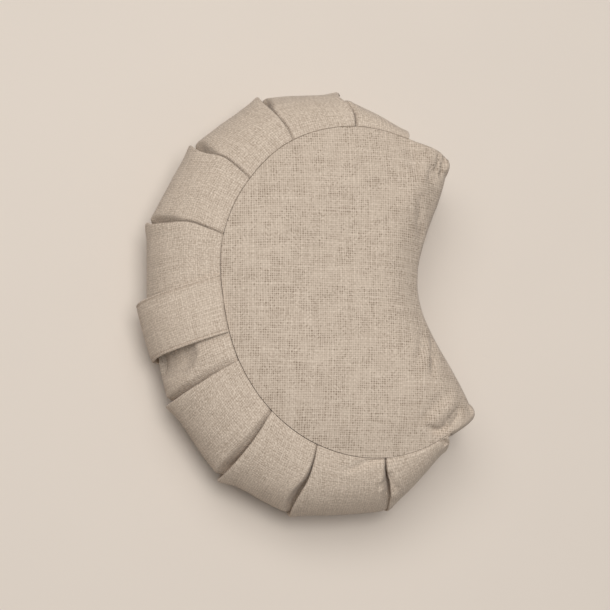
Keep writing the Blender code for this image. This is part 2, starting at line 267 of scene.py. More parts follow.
# The weave group's sockets, and its own sizes, in threads.
WEAVE_INPUTS = (
    ("Cloth", "Vector", None),
    ("Pitch", "Float", 0.0022),
    ("Slub", "Float", 1.0),
    ("Openness", "Float", 0.5),
    ("Grain", "Float", 0.3),
    ("Thread", "Color", (0.5, 0.42, 0.33, 1)),
    ("Pale thread", "Color", (0.6, 0.5, 0.4, 1)),
    # The gap colour is painted shade, put down between the threads and in the pinholes.
    ("Gap shade", "Color", (0.2, 0.15, 0.1, 1)),
)
WEAVE_OUTPUTS = (("Color", "Color"), ("Height", "Float"), ("Roughness", "Float"))
DRIFT = 1.6
DRIFT_ACROSS = 0.16
DRIFT_ALONG = 0.022
SLUB_STRETCH = 0.085
SLUB_SWING = 1.1
TONE_STRETCH = 0.03
PATCH_SCALE = 0.11
THREAD_WIDTH = 1.02
THINNING = 0.34
THREAD_ROUND = 0.62
THREAD_LIFT = 0.34


def mix(a, b, share):
    return a + (b - a) * share


def eased(share):
    """A smooth step from 0 to 1."""
    share = np.clip(share, 0.0, 1.0)
    return share * share * (3 - 2 * share)


def smooth_between(values, position):
    """A smooth curve through evenly spaced values, read at positions among them."""
    values = np.asarray(values, float)
    last = len(values) - 1
    at = np.clip(np.floor(position).astype(int), 0, last - 1)
    share = position - at
    if values.ndim > 1:
        share = share[..., None]
    p0, p1, p2, p3 = (values[np.clip(at + k, 0, last)] for k in (-1, 0, 1, 2))
    return 0.5 * (
        2 * p1
        + (p2 - p0) * share
        + (2 * p0 - 5 * p1 + 4 * p2 - p3) * share**2
        + (3 * p1 - p0 - 3 * p2 + p3) * share**3
    )


def unit(vectors):
    return vectors / np.maximum(np.linalg.norm(vectors, axis=-1, keepdims=True), 1e-12)


def with_height(plan, height):
    return np.concatenate((plan, np.broadcast_to(height, plan.shape[:-1])[..., None]), axis=-1)


def run_along(points, axis):
    """How far each point is along its row or column from the first one in it."""
    first = np.take(points, [0], axis=axis)
    steps = np.linalg.norm(np.diff(points, axis=axis, prepend=first), axis=-1)
    return np.cumsum(steps, axis=axis)


def pleat_values(name):
    return np.array([getattr(pleat, name) for pleat in PLEATS], float)


def at_station(values, turn):
    """A pleat's size in metres at each turn down the side; below the belly it is mirrored."""
    up = np.where(turn > pi / 2, pi - turn, turn)
    position = np.interp(up, STATIONS, np.arange(len(STATIONS)))
    return smooth_between(np.array(values) * MM, position)


def back_seam(position):
    angle = np.radians(smooth_between(pleat_values("angle"), position))
    radius = smooth_between(pleat_values("seam_radius"), position)
    return np.stack((radius * np.sin(angle), radius * np.cos(angle)), axis=-1)


def bay_y(x):
    return BAY_MIDDLE_Y - BAY_SWING * (1 - np.cos(pi * x / BAY_HALF_WAVE)) / 2


def seam_radius(plan):
    angles, radii = pleat_values("angle"), pleat_values("seam_radius")
    angle = np.degrees(np.arctan2(plan[..., 0], plan[..., 1]))
    return np.interp(angle, angles[::-1], radii[::-1])


def top_height(plan):
    """The top panel's upper face, as the crown of the solids."""
    from_back = np.maximum(seam_radius(plan) - np.hypot(plan[..., 0], plan[..., 1]), 0.0)
    from_front = np.maximum(plan[..., 1] - bay_y(plan[..., 0]), 0.0)
    back = BACK_DROP * (1 - np.minimum(from_back / BACK_REACH, 1.0)) ** CROWN_POWER
    front = FRONT_DROP * (1 - np.minimum(from_front / FRONT_REACH, 1.0)) ** CROWN_POWER
    return CROWN_HEIGHT - (back**CORNER_BLEND + front**CORNER_BLEND) ** (1 / CORNER_BLEND)


def base_height(plan):
    """The base's lower face: flat on the floor, but for the rim that rises to the seam."""
    from_back = np.maximum(seam_radius(plan) - np.hypot(plan[..., 0], plan[..., 1]), 0.0)
    from_front = np.maximum(plan[..., 1] - bay_y(plan[..., 0]), 0.0)
    inset = np.minimum(from_back, from_front)
    return BASE_SEAM_HEIGHT * (1 - np.minimum(inset / BASE_RIM_WIDTH, 1.0)) ** 2


def tip_seam(share, side):
    """Points round a tip, from the last pleat to where the bay starts, and outwards there."""
    mirror = np.array((side, 1.0))
    start = back_seam(np.array(0.0 if side > 0 else len(PLEATS) - 1.0)) * mirror
    corner = np.array(TIP_CORNERS[side])
    end = np.array((BAY_HALF_WIDTH, bay_y(BAY_HALF_WIDTH)))

    def point(share):
        share = share[:, None]
        pull = 2 * TIP_SHARPNESS * share * (1 - share)
        ends = (1 - share) ** 2 * start + share**2 * end
        return (ends + pull * corner) / ((1 - share) ** 2 + pull + share**2)

    # The points are evenly spaced along the curve.
    fine = np.linspace(0, 1, 1001)
    steps = np.linalg.norm(np.diff(point(fine), axis=0), axis=1)
    run = np.concatenate(([0.0], np.cumsum(steps)))
    place = np.interp(share * run[-1], run, fine)
    plan = point(place)
    step = 0.005
    along = point(place + step) - point(place - step)
    share = share[:, None]
    out = unit(np.stack((-along[:, 1], along[:, 0]), axis=-1))
    out = unit(mix(unit(start), out, eased(share / TIP_TURN_SHARE)))
    return plan * mirror, out * mirror


def panel_shares():
    """Where the lines cross a panel: closest together at its lip and in its fold."""
    across = np.linspace(0, PANEL_WIDTH, 4001)
    from_lip = LIP_SPACING + LIP_GROWTH * across
    from_fold = FOLD_SPACING + FOLD_GROWTH * (PANEL_WIDTH - across)
    spacing = np.minimum(from_lip, from_fold)
    lines = np.cumsum(1 / np.minimum(spacing, WIDEST_SPACING))
    lines = (lines - lines[0]) / (lines[-1] - lines[0])
    return np.interp(np.linspace(0, 1, PANEL_LINES), lines, across / PANEL_WIDTH)


def lines_of(plan, out, **given):
    """Lines that start at these points of the seam, with their values for the outline."""
    values = {"panel": -1, "share": 0.0, "folded": 0.0, "belly": 0.0, "front": 0.0, "bay": 0.0}
    values.update(given)
    return {"plan": plan, "out": out} | {
        name: np.broadcast_to(value, len(plan)) for name, value in values.items()
    }


def back_lines(position, **given):
    plan = back_seam(position)
    belly = smooth_between(pleat_values("belly"), position)
    return lines_of(plan, unit(plan), belly=belly, **given)


def fold_lines(number, panel):
    """The cloth that runs back inside a fold, between two panels."""
    position = np.full(len(FOLDED_SHARES), float(number))
    return back_lines(position, panel=panel, share=1.0, folded=np.array(FOLDED_SHARES))


def tip_lines(side):
    share = np.linspace(0, 1, TIP_LINES)[::-side]
    plan, out = tip_seam(share, side)
    belly = mix(TIP_START_BELLY, TIP_BELLY, share)
    return lines_of(plan, out, belly=belly, front=eased(share / FRONT_SEAM_FROM))


def bay_lines():
    x = np.linspace(-BAY_HALF_WIDTH, BAY_HALF_WIDTH, BAY_LINES)[1:-1]
    slope = -BAY_SWING * pi / BAY_HALF_WAVE / 2 * np.sin(pi * x / BAY_HALF_WAVE)
    out = unit(np.stack((slope, -np.ones_like(slope)), axis=-1))
    into = np.minimum((BAY_HALF_WIDTH - np.abs(x)) / (BAY_HALF_WIDTH * BAY_BLEND), 1.0)
    plan = np.stack((x, bay_y(x)), axis=-1)
    return lines_of(plan, out, belly=mix(TIP_BELLY, BAY_BELLY, into), front=1.0, bay=1.0)


class Outline:
    """The lines of points that run from the middle of the top, over the side, to the base.

    Lines come panel by panel round the back, with the cloth inside each fold between,
    then round one tip, across the bay and round the other tip. Each has its place on the
    seam's plan, its outward direction and its place among the pleats.
    """

    def __init__(self):
        shares = panel_shares()
        parts = []
        for number in range(len(PLEATS) - 1):
            parts.append(back_lines(number + shares, panel=number, share=shares))
            parts.append(fold_lines(number + 1, number))
        parts += [tip_lines(-1), bay_lines(), tip_lines(1), fold_lines(0, -1)]
        for name in parts[0]:
            setattr(self, name, np.concatenate([part[name] for part in parts]))
        self.count = len(self.plan)
        self.hidden = self.folded > 0
        self.along = np.stack((-self.out[:, 1], self.out[:, 0]), axis=-1)
        self.crest = top_height(self.plan)
        step = self.plan - self.out * MM
        self.slope = np.clip((top_height(step) - self.crest) / MM, 0.0, STEEPEST_SLOPE)
        self.seam_turn = self.front * FRONT_SEAM_TURN
        self.length = np.linalg.norm(self.plan - MIDDLE, axis=1)
        self.turns = np.linspace(0, pi / 2, 91)
        out, up = self.profile(self.turns[:, None])
        steps = np.hypot(np.diff(out, axis=0), np.diff(up, axis=0))
        self.arcs = np.concatenate((np.zeros((1, self.count)), np.cumsum(steps, axis=0)))
        self.seam_run = self.read(self.seam_turn[None, :], self.turns, self.arcs)[0]

    def read(self, wanted, given, values):
        """Reads each line's own table at the wanted places, a row for each ring."""
        given = np.broadcast_to(given[:, None] if given.ndim == 1 else given, self.arcs.shape)
        values = np.broadcast_to(values[:, None] if values.ndim == 1 else values, self.arcs.shape)
        columns = [
            np.interp(wanted[:, line], given[:, line], values[:, line])
            for line in range(self.count)
        ]
        return np.stack(columns, axis=1)

    def profile(self, turn):
        """How far out from the seam's plan, and how high, the side is at each turn."""
        turn = turn + np.zeros(self.count)
        reach = np.where(turn < pi / 2, self.crest - BELLY_HEIGHT, BELLY_HEIGHT - BASE_SEAM_HEIGHT)
        out = self.belly * np.maximum(np.sin(turn), 0.0)
        up = BELLY_HEIGHT + reach * np.cos(turn)
        # At the front the cloth carries on down the slope of the crown, and rolls over.
        part = np.clip(turn / (pi / 2), 0.0, 1.0)
        rest = 1 - part
        lead = self.belly * FRONT_LEAD
        rolled_out = 3 * rest**2 * part * lead + (3 * rest * part**2 + part**3) * self.belly
        rolled_up = (
            rest**3 * self.crest
            + 3 * rest**2 * part * (self.crest - self.slope * lead)
            + 3 * rest * part**2 * (BELLY_HEIGHT + FRONT_PULL)
            + part**3 * BELLY_HEIGHT
        )
        share = self.front * (turn < pi / 2)
        return mix(out, rolled_out, share), mix(up, rolled_up, share)

    def facing(self, turn):
        """The side's outward direction at each turn, and how far a turn of 1 carries along it."""
        step = 0.002
        turn = turn + np.zeros(self.count)
        out0, up0 = self.profile(np.maximum(turn - step, 0.0))
        out1, up1 = self.profile(np.minimum(turn + step, pi))
        moved = np.hypot(out1 - out0, up1 - up0)
        outward = (up0 - up1) / moved
        normal = np.concatenate(
            (self.out * outward[..., None], ((out1 - out0) / moved)[..., None]), axis=-1
        )
        swing = np.minimum(turn + step, pi) - np.maximum(turn - step, 0.0)
        return normal, moved / swing

    def side(self, turn):
        """Points on the side at each turn, a ring for each row, with the pleats folded in."""
        turn = turn + np.zeros(self.count)
        out, up = self.profile(turn)
        proud, along = np.zeros_like(out), np.zeros_like(out)
        for number in range(len(PLEATS) - 1):
            mine = np.flatnonzero(self.panel == number)
            span = radians(PLEATS[number].angle - PLEATS[number + 1].angle)
            width = span * (np.linalg.norm(self.plan[mine], axis=1) + out[:, mine])
            folds = panel_folds(number, self.share[mine], width, turn[:, mine])
            proud[:, mine], along[:, mine] = folds
        swell = np.maximum(np.sin(turn), 0.0)
        plan = (
            self.plan
            + self.out * (out + proud * swell)[..., None]
            + self.along * along[..., None]
        )
        points = with_height(plan, up + proud * np.cos(turn))
        # Inside a fold, the cloth turns back from the dip to the next panel's lip.
        steps = len(FOLDED_SHARES) + 1
        for index in np.flatnonzero(self.hidden):
            first = index - int(round(self.folded[index] * steps))
            last = (first + steps) % self.count
            bent = FOLD_BEND * np.sin(pi * self.folded[index])
            points[:, index] = mix(points[:, first], points[:, last], self.folded[index])
            points[:, index, :2] -= self.out[index] * bent
            points[:, index, :2] += self.along[index] * 2 * bent * swell[:, index, None]
        return points

    def over(self, distance):
        """The top panel's upper face, this far in from its seam.

        It returns the points, the same points on the flat cloth, and which way they face.
        """
        run = self.seam_run - (np.atleast_2d(distance) + np.zeros(self.count))
        share = np.clip(-run / self.length, 0.0, 1.0)[..., None]
        bent = self.plan - self.out * INWARD_BEND
        crown = (1 - share) ** 2 * self.plan + 2 * share * (1 - share) * bent + share**2 * MIDDLE
        step = 2 * MM
        east, north = np.array((step, 0.0)), np.array((0.0, step))
        lean_x = (top_height(crown - east) - top_height(crown + east)) / (2 * step)
        lean_y = (top_height(crown - north) - top_height(crown + north)) / (2 * step)
        facing = unit(np.stack((lean_x, lean_y, np.ones_like(lean_x)), axis=-1))
        turn = self.read(np.maximum(run, 0.0), self.arcs, self.turns)
        out, up = self.profile(turn)
        normal, _ = self.facing(turn)
        on_side = (run > 0)[..., None]
        side = with_height(self.plan + self.out * out[..., None], up)
        points = np.where(on_side, side, with_height(crown, top_height(crown)))
        flat = np.where(on_side, self.plan + self.out * run[..., None], crown)
        return points, flat, np.where(on_side, normal, facing)

    def edge(self, at_base=False):
        """The band's rolled edge at the top seam, or at the base seam, from the seam out."""
        seam = np.full(self.count, pi) if at_base else self.seam_turn
        _, rate = self.facing(seam[None, :])
        rings = []
        for away, drop in SEAM_ROLL:
            turn = seam + (-away if at_base else away) / rate
            normal, _ = self.facing(turn)
            rings.append((self.side(turn) - normal * drop)[0])
        return rings

    def side_turns(self):
        """The turns of the side's rings, from just past one rolled edge to the other."""
        _, top_rate = self.facing(self.seam_turn[None, :])
        _, base_rate = self.facing(np.full((1, self.count), pi))
        start = self.seam_turn + ROLL_END / top_rate[0]
        end = pi - ROLL_END / base_rate[0]
        return start + (end - start) * (np.linspace(0, 1, SIDE_RINGS) ** RING_BUNCHING)[:, None]


def panel_folds(number, share, width, turn):
    """How far a panel stands proud of the side at each turn, and how far it is shifted along.

    Share is the place across the panel, from its own lip to the fold under the next one.
    """
    here, after = PLEATS[number], PLEATS[number + 1]
    swell = np.maximum(np.sin(turn), 0.0)
    before, ahead = share * width, (1 - share) * width

    def lip(pleat, away):
        height = pleat.lip * MM * mix(LIP_AT_SEAM, 1.0, swell) * np.exp(-((away / LIP_REACH) ** 2))
        corner = CORNER_LIFT * swell**6 * np.exp(-away / CORNER_REACH)
        edge = 1 - np.minimum(away / LIP_RADIUS, 1.0)
        return height + corner - LIP_RADIUS * (1 - np.sqrt(1 - edge**2))

    proud = lip(here, before) - PANEL_SAG * 4 * share * (1 - share) * swell**2
    hang = OVERHANG * mix(OVERHANG_AT_SEAM, 1.0, swell)
    along = -hang * np.exp(-before / OVERHANG_REACH)
    along = along + mix(at_station(here.lean, turn), at_station(after.lean, turn), share)
    if number == len(PLEATS) - 2:
        proud += lip(after, ahead)
        along += hang * np.exp(-ahead / OVERHANG_REACH)
        return proud, along
    roll = np.clip(1 - ahead / np.maximum(at_station(after.width, turn), MM), 0.0, 1.0)
    dip = mix(1 - np.sqrt(1 - roll**2), eased(roll * 1.25), 0.8)
    slit = eased(1 - (ahead - hang) / SLIT_WIDTH)
    proud -= at_station(after.depth, turn) * dip
    proud -= at_station(after.slit, turn) * slit
    along += TUCK * np.clip(1 - ahead / TUCK_REACH, 0.0, 1.0) ** 2
    return proud, along


def pressed(creases, plan):
    """How far the creases press the cloth in at each point, as seen from above."""
    depth = np.zeros(plan.shape[:-1])
    for crease in creases:
        knots = np.array(crease.path, float) * MM
        place = np.linspace(0, 1, 41)
        path = smooth_between(knots, place * (len(knots) - 1))
        width = crease.width * MM
        low, high = path.min(axis=0) - 3 * width, path.max(axis=0) + 3 * width
        near = np.all((plan > low) & (plan < high), axis=-1)
        gaps = np.linalg.norm(plan[near][:, None, :] - path, axis=-1)
        nearest = gaps.argmin(axis=1)
        fade = np.sin(pi * place[nearest]) ** 0.6
        depth[near] += crease.depth * MM * fade * np.exp(-((gaps.min(axis=1) / width) ** 2))
    return depth


def undulation(points):
    """A gentle unevenness of stuffed cloth."""
    flat = points.reshape(-1, 3)
    depth = np.zeros(len(flat))
    for across, rise in UNDULATIONS:
        depth += [rise * noise.noise(Vector(point)) for point in flat / across]
    return depth.reshape(points.shape[:-1])


def ball(name, rings, top, bottom):
    """A closed mesh: a sphere whose rings of points are moved to where they belong.

    It returns the mesh, and the ring and line of each of its points.
    """
    count, lines = rings.shape[:2]
    shape = bmesh.new()
    bmesh.ops.create_uvsphere(shape, u_segments=lines, v_segments=count + 1, radius=1.0)
    mesh = bpy.data.meshes.new(name)
    shape.to_mesh(mesh)
    shape.free()
    at = np.empty(len(mesh.vertices) * 3, np.float32)
    mesh.vertices.foreach_get("co", at)
    at = at.reshape(-1, 3)
    ring = np.rint(np.arccos(np.clip(at[:, 2], -1, 1)) / pi * (count + 1)).astype(int)
    line = np.rint(np.arctan2(at[:, 1], at[:, 0]) / tau * lines).astype(int) % lines
    points = rings[np.clip(ring - 1, 0, count - 1), line]
    points[ring == 0] = top
    points[ring == count + 1] = bottom
    mesh.vertices.foreach_set("co", points.astype(np.float32).ravel())
    return mesh, ring, line


def corner_table(mesh):
    """Each face corner's point, and the face that it is in."""
    points = np.empty(len(mesh.loops), int)
    mesh.loops.foreach_get("vertex_index", points)
    totals = np.empty(len(mesh.polygons), int)
    mesh.polygons.foreach_get("loop_total", totals)
    return points, np.repeat(np.arange(len(totals)), totals)


def set_cloth_map(mesh, flat):
    """The cloth's own flat coordinates, in metres, one pair for each face corner."""
    layer = mesh.uv_layers.new(name="cloth")
    layer.data.foreach_set("uv", flat.astype(np.float32).ravel())


def closed_map(mesh, flat, ring, line, middle=None):
    """A cloth map from flat places by ring and line, carried past the last line's join.

    Flat has one more line than the mesh, which is the first line met again. The middle is
    the place of the two points that close the mesh.
    """
    points, face = corner_table(mesh)
    closing = (ring[points] == 0) | (ring[points] > len(flat))
    line, ring = line[points], np.clip(ring[points] - 1, 0, len(flat) - 1)
    lowest = np.full(face.max() + 1, flat.shape[1])
    highest = np.zeros(face.max() + 1, int)
    np.minimum.at(lowest, face, line)
    np.maximum.at(highest, face, line)
    joins = (highest - lowest) > flat.shape[1] // 2
    line = np.where(joins[face] & (line == 0), flat.shape[1] - 1, line)
    places = flat[ring, line]
    if middle is not None:
        places[closing] = middle
    set_cloth_map(mesh, places)


def outward_faces(mesh):
    shape = bmesh.new()
    shape.from_mesh(mesh)
    bmesh.ops.recalc_face_normals(shape, faces=shape.faces[:])
    shape.to_mesh(mesh)
    shape.free()


def piece_of(mesh, material):
    mesh.shade_smooth()
    piece = bpy.data.objects.new(mesh.name, mesh)
    bpy.context.scene.collection.objects.link(piece)
    mesh.materials.append(material)
    return piece


class Kit:
    """Adds nodes to a node tree in a few words."""

    def __init__(self, tree):
        self.tree = tree

    def node(self, kind, **settings):
        made = self.tree.nodes.new(kind)
        for name, value in settings.items():
            setattr(made, name, value)
        return made

    def feed(self, socket, value):
        if isinstance(value, bpy.types.NodeSocket):
            self.tree.links.new(value, socket)
        elif value is not None:
            socket.default_value = value

    def math(self, operation, a, b=None, c=None):
        made = self.node("ShaderNodeMath", operation=operation)
        for socket, value in zip(made.inputs, (a, b, c)):
            self.feed(socket, value)
        return made.outputs[0]

    def times(self, a, b):
        return self.math("MULTIPLY", a, b)

    def plus(self, a, b):
        return self.math("ADD", a, b)

    def less(self, a, b):
        return self.math("SUBTRACT", a, b)

    def scaled(self, value, by, start):
        return self.math("MULTIPLY_ADD", value, by, start)

    def vector(self, x, y):
        made = self.node("ShaderNodeCombineXYZ")
        for socket, value in zip(made.inputs, (x, y)):
            self.feed(socket, value)
        return made.outputs[0]

    def noise(self, vector, scale, detail=1.0, rough=0.5):
        made = self.node("ShaderNodeTexNoise", noise_dimensions="2D")
        self.feed(made.inputs["Vector"], vector)
        self.feed(made.inputs["Scale"], scale)
        self.feed(made.inputs["Detail"], detail)
        self.feed(made.inputs["Roughness"], rough)
        return made.outputs["Fac"]

    def range(self, value, low, high, to_low, to_high):
        made = self.node("ShaderNodeMapRange", clamp=True)
        for socket, given in zip(made.inputs, (value, low, high, to_low, to_high)):
            self.feed(socket, given)
        return made.outputs[0]

    def blend(self, share, a, b):
        made = self.node("ShaderNodeMix", data_type="RGBA")
        self.feed(made.inputs["Factor"], share)
        self.feed(made.inputs["A"], a)
        self.feed(made.inputs["B"], b)
        return made.outputs["Result"]


def weave_sockets(tree):
    for name, kind, default in WEAVE_INPUTS:
        made = tree.interface.new_socket(name=name, in_out="INPUT", socket_type="NodeSocket" + kind)
        if default is not None:
            made.default_value = default
    for name, kind in WEAVE_OUTPUTS:
        tree.interface.new_socket(name=name, in_out="OUTPUT", socket_type="NodeSocket" + kind)


def linen_weave():
    """The plain weave: uneven threads over and under, with small gaps where they are thin, and
    painted shade down between the threads, in the gaps and in pinholes.
    """
    found = bpy.data.node_groups.get("linen_weave")
    if found:
        return found
    tree = bpy.data.node_groups.new("linen_weave", "ShaderNodeTree")
    weave_sockets(tree)
    kit = Kit(tree)
    given = kit.node("NodeGroupInput").outputs
    result = kit.node("NodeGroupOutput").inputs

    def drift(across, along):
        return kit.noise(kit.vector(kit.times(u0, across), kit.times(v0, along)), 1.0)

    def by_thread(number, along, key, start, stretch, detail, is_weft):
        """Noise that is each thread's own, and changes slowly along it."""
        own, slow = kit.scaled(number, key, start), kit.times(along, stretch)
        place = kit.vector(slow, own) if is_weft else kit.vector(own, slow)
        return kit.noise(place, 1.0, detail)

    def off_middle(place):
        """From 0 at the middle of a thread to 1 at its edge."""
        return kit.math("ABSOLUTE", kit.scaled(kit.math("FRACT", place), 2.0, -1.0))

    def half_width(slub):
        swing = kit.times(kit.less(slub, 0.5), given["Slub"])
        return kit.less(kit.scaled(swing, SLUB_SWING, THREAD_WIDTH), kit.times(thin, THINNING))

    def round_top(across, wide):
        part = kit.math("DIVIDE", across, wide)
        left = kit.less(1.0, kit.times(part, part))
        return kit.math("SQRT", kit.math("MAXIMUM", left, 0.0))

    def where_there(height, top):
        return kit.times(height, kit.math("GREATER_THAN", top, 0.001))

    def to_crossing(across):
        short = kit.less(1.0, across)
        return kit.times(short, short)

    def thread_tone(tone, slub):
        return kit.plus(kit.times(tone, 0.6), kit.times(slub, 0.6))

    flat = kit.node("ShaderNodeSeparateXYZ")
    kit.feed(flat.inputs[0], given["Cloth"])
    u0 = kit.math("DIVIDE", flat.outputs[0], given["Pitch"])
    v0 = kit.math("DIVIDE", flat.outputs[1], given["Pitch"])
    # Threads aren't laid quite evenly: they wander by part of a thread.
    u = kit.scaled(drift(DRIFT_ACROSS, DRIFT_ALONG), DRIFT, u0)
    v = kit.scaled(drift(DRIFT_ALONG, DRIFT_ACROSS), DRIFT, v0)
    warp_number, weft_number = kit.math("FLOOR", u), kit.math("FLOOR", v)
    grain = kit.noise(kit.vector(u0, v0), 1.1, 2.0, 0.7)
    grain = kit.times(kit.less(grain, 0.5), given["Grain"])
    # Slubs: each thread is thick and thin along its own length.
    warp_slub = by_thread(warp_number, v, 7.31, 0.0, SLUB_STRETCH, 1.5, False)
    weft_slub = by_thread(weft_number, u, 7.31, 311.7, SLUB_STRETCH, 1.5, True)
    across_warp, across_weft = off_middle(u), off_middle(v)
    patch = kit.noise(kit.vector(u0, v0), PATCH_SCALE, 2.0, 0.6)
    thin = kit.times(kit.range(patch, 0.35, 0.65, 0.35, 1.0), given["Openness"])

    warp_top = round_top(across_warp, half_width(warp_slub))
    weft_top = round_top(across_weft, half_width(weft_slub))
    sin_u = kit.math("SINE", kit.times(u, pi))
    sin_v = kit.math("SINE", kit.times(v, pi))
    over = kit.times(sin_v, kit.math("SIGN", sin_u))
    under = kit.times(sin_u, kit.math("SIGN", sin_v))
    warp_height = kit.scaled(warp_top, THREAD_ROUND, kit.times(over, THREAD_LIFT))
    weft_height = kit.less(kit.times(weft_top, THREAD_ROUND), kit.times(under, THREAD_LIFT))
    warp_height = where_there(warp_height, warp_top)
    weft_height = where_there(weft_height, weft_top)
    height = kit.math("MAXIMUM", kit.math("MAXIMUM", warp_height, weft_height), -0.25)
    warp_shows = kit.math("GREATER_THAN", warp_height, weft_height)
    covered = kit.math("MAXIMUM", warp_top, weft_top)
    # Where no thread covers the cloth, the gap is painted in the dark gap colour: painted shade down
    # between the threads.
    gap = kit.range(covered, 0.0, 0.55, 1.0, 0.0)
    # Some of the crossings have a pinhole between their four threads, more in thin patches. These are
    # painted dark in the gap colour, as painted shade.
    chance = kit.node("ShaderNodeTexWhiteNoise", noise_dimensions="2D")
    kit.feed(chance.inputs["Vector"], kit.vector(kit.math("ROUND", u), kit.math("ROUND", v)))
    away = kit.plus(to_crossing(across_warp), to_crossing(across_weft))
    often = kit.scaled(thin, -1.0, 0.95)
    open_share = kit.range(kit.less(chance.outputs["Value"], often), 0.0, 0.6, 0.0, 1.0)
    hole = kit.times(open_share, kit.range(away, 0.05, 0.85, 1.0, 0.0))
    gap = kit.math("MAXIMUM", gap, hole)

    # Each thread has its own tone, paler where it is thick.
    warp_tone = by_thread(warp_number, v, 3.17, 0.0, TONE_STRETCH, 1.0, False)
    weft_tone = by_thread(weft_number, u, 3.17, 57.3, TONE_STRETCH, 1.0, True)
    tone = kit.node("ShaderNodeMix", data_type="FLOAT")
    kit.feed(tone.inputs["Factor"], warp_shows)
    kit.feed(tone.inputs["A"], thread_tone(weft_tone, weft_slub))
    kit.feed(tone.inputs["B"], thread_tone(warp_tone, warp_slub))
    even = kit.scaled(tone.outputs["Result"], 0.7, 0.18)
    pale = kit.range(kit.plus(even, grain), 0.34, 0.90, 0.0, 1.0)
    # Painted shade: each thread is painted darker, towards the dark gap colour, where it is low at
    # its edges and where it dips under a crossing thread.
    shade = kit.range(height, -0.1, 0.95, 0.0, 1.0)
    colour = kit.blend(pale, given["Thread"], given["Pale thread"])
    colour = kit.blend(kit.times(kit.less(1.0, shade), 0.55), colour, given["Gap shade"])
    # The gaps and pinholes are painted in the gap colour: painted shade.
    colour = kit.blend(kit.times(gap, 0.9), colour, given["Gap shade"])
    kit.feed(result["Color"], colour)
    kit.feed(result["Height"], kit.scaled(grain, 2.4, height))
    kit.feed(result["Roughness"], kit.range(tone.outputs["Result"], 0.3, 0.9, 0.80, 0.97))
    return tree


def linen(name, look, openness=1.0, grain=1.0, tone=1.0):
    """A linen material for one piece, with more or less open, grainy and pale threads."""
    material = bpy.data.materials.new(name)
    material.use_nodes = True
    kit = Kit(material.node_tree)
    shader = material.node_tree.nodes["Principled BSDF"]
    cloth = kit.node("ShaderNodeUVMap", uv_map="cloth")
    weave = kit.node("ShaderNodeGroup", node_tree=linen_weave())
    kit.feed(weave.inputs["Cloth"], cloth.outputs[0])
    weave.inputs["Pitch"].default_value = look.pitch
    weave.inputs["Slub"].default_value = look.slub
    weave.inputs["Openness"].default_value = look.openness * openness
    weave.inputs["Grain"].default_value = look.grain * grain
    weave.inputs["Thread"].default_value = (*(part * tone for part in look.thread), 1)
    weave.inputs["Pale thread"].default_value = (*(part * tone for part in look.pale_thread), 1)
    # The gap colour is painted shade between the threads.
    weave.inputs["Gap shade"].default_value = (*look.gap, 1)
    kit.feed(shader.inputs["Base Color"], weave.outputs["Color"])
    kit.feed(shader.inputs["Roughness"], weave.outputs["Roughness"])
    bump = kit.node("ShaderNodeBump")
    bump.inputs["Strength"].default_value = look.relief
    bump.inputs["Distance"].default_value = 0.0004
    kit.feed(bump.inputs["Height"], weave.outputs["Height"])
    kit.feed(shader.inputs["Normal"], bump.outputs[0])
    shader.inputs["Metallic"].default_value = 0.0
    shader.inputs["Specular IOR Level"].default_value = 0.25
    shader.inputs["Sheen Weight"].default_value = 0.12
    shader.inputs["Sheen Roughness"].default_value = 0.5
    return material


class LinenLook(bpy.types.PropertyGroup):
    pitch: FloatProperty(
        name="Thread spacing", description="Distance from one thread to the next",
        default=0.0022, min=0.0004, max=0.006, precision=4, subtype="DISTANCE", unit="LENGTH",
    )
    slub: FloatProperty(
        name="Slub", description="How much the threads thicken and thin along their length",
        default=1.0, min=0.0, max=2.0, subtype="FACTOR",
    )
    openness: FloatProperty(
        name="Openness", description="How far the small gaps between threads open",
        default=0.6, min=0.0, max=1.0, subtype="FACTOR",
    )
    grain: FloatProperty(
        name="Grain", description="How speckled the cloth is",
        default=0.5, min=0.0, max=2.0, subtype="FACTOR",
    )
    relief: FloatProperty(
        name="Relief", description="How strongly the threads stand out",
        default=0.5, min=0.0, max=2.0, subtype="FACTOR",
    )
    thread: FloatVectorProperty(
        name="Thread", description="Colour of a thin, dark thread",
        default=(0.46, 0.368, 0.287), min=0.0, max=1.0, size=3, subtype="COLOR",
    )
    pale_thread: FloatVectorProperty(
        name="Pale thread", description="Colour of a thick, pale thread",
        default=(0.66, 0.554, 0.449), min=0.0, max=1.0, size=3, subtype="COLOR",
    )
    # Painted shade: the colour painted down between the threads, in the gaps and in pinholes, where
    # shade falls.
    gap: FloatVectorProperty(
        name="Gap shade", description="Colour down between the threads",
        default=(0.20, 0.145, 0.10), min=0.0, max=1.0, size=3, subtype="COLOR",
    )


class StudioLook(bpy.types.PropertyGroup):
    floor: FloatVectorProperty(
        name="Floor", description="Colour of the floor",
        default=(0.665, 0.590, 0.516), min=0.0, max=1.0, size=3, subtype="COLOR",
    )
    top_power: FloatProperty(
        name="Top light", description="Power of the large soft light from the picture's top",
        default=34.0, min=0.0, max=400.0, unit="POWER",
    )
    corner_power: FloatProperty(
        name="Corner light", description="Power of the large soft light from the upper left",
        default=46.0, min=0.0, max=400.0, unit="POWER",
    )
    soft_size: FloatProperty(
        name="Soft size", description="Width of the two large soft lights",
        default=2.6, min=0.1, max=6.0, subtype="DISTANCE", unit="LENGTH",
    )
    overhead_power: FloatProperty(
        name="Overhead light", description="Power of the light from straight above",
        default=80.0, min=0.0, max=400.0, unit="POWER",
    )
    overhead_size: FloatProperty(
        name="Overhead size", description="Width of the light from straight above",
        default=1.8, min=0.1, max=6.0, subtype="DISTANCE", unit="LENGTH",
    )
    fill: FloatProperty(
        name="Fill", description="Strength of the light from all round",
        default=0.18, min=0.0, max=3.0, subtype="FACTOR",
    )


def to_middle(outline, share):
    """Plan points part of the way from the seam to the middle."""
    return mix(outline.plan, MIDDLE, share)


